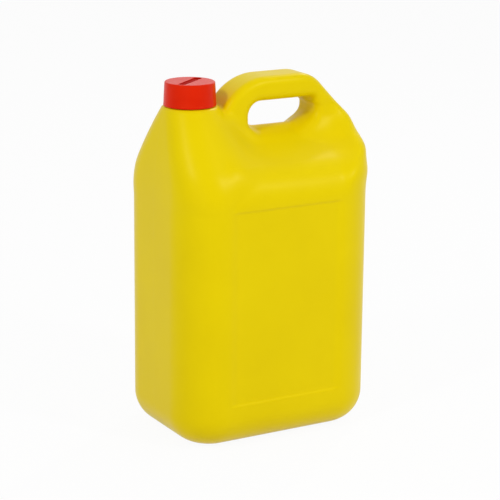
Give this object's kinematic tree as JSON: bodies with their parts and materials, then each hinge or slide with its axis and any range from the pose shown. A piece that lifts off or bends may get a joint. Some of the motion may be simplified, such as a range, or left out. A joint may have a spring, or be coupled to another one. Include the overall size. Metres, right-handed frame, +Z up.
{
  "type": "jerrycan",
  "caption": "Blow-moulded plastic jerrycan with a hollow grip handle through the top, rounded shoulders and a threaded neck closed by a screw cap.",
  "frame": {"origin": "on the ground in the middle of the base", "axes": "+Z up; the wide faces look along -Y and +Y; the neck stands near the -X end and the handle runs along X"},
  "size_m": [0.181, 0.128, 0.2995],
  "materials": {
    "yellow_polyethylene": "satin, slightly uneven from blow moulding",
    "white_foam": "matte closed-cell foam",
    "red_polypropylene": "semi-gloss"
  },
  "bodies": {
    "can": {"can_body": "yellow_polyethylene"},
    "liner": {"sealing_liner": "white_foam"},
    "cap": {"screw_cap": "red_polypropylene"}
  },
  "joints": [
    {"name": "cap_lift", "type": "slide", "parent": "can", "child": "liner", "axis": [0, 0, 1], "range_m": [0, 0.0074]},
    {"name": "cap_turn", "type": "hinge", "parent": "liner", "child": "cap", "pos_m": [-0.0572, 0, 0.288], "axis": [0, 0, 1], "range_deg": [0, 630]}
  ],
  "couplings": [
    {"joint": "cap_lift", "follows": "cap_turn", "m_per_rad": 0.00066845}
  ]
}
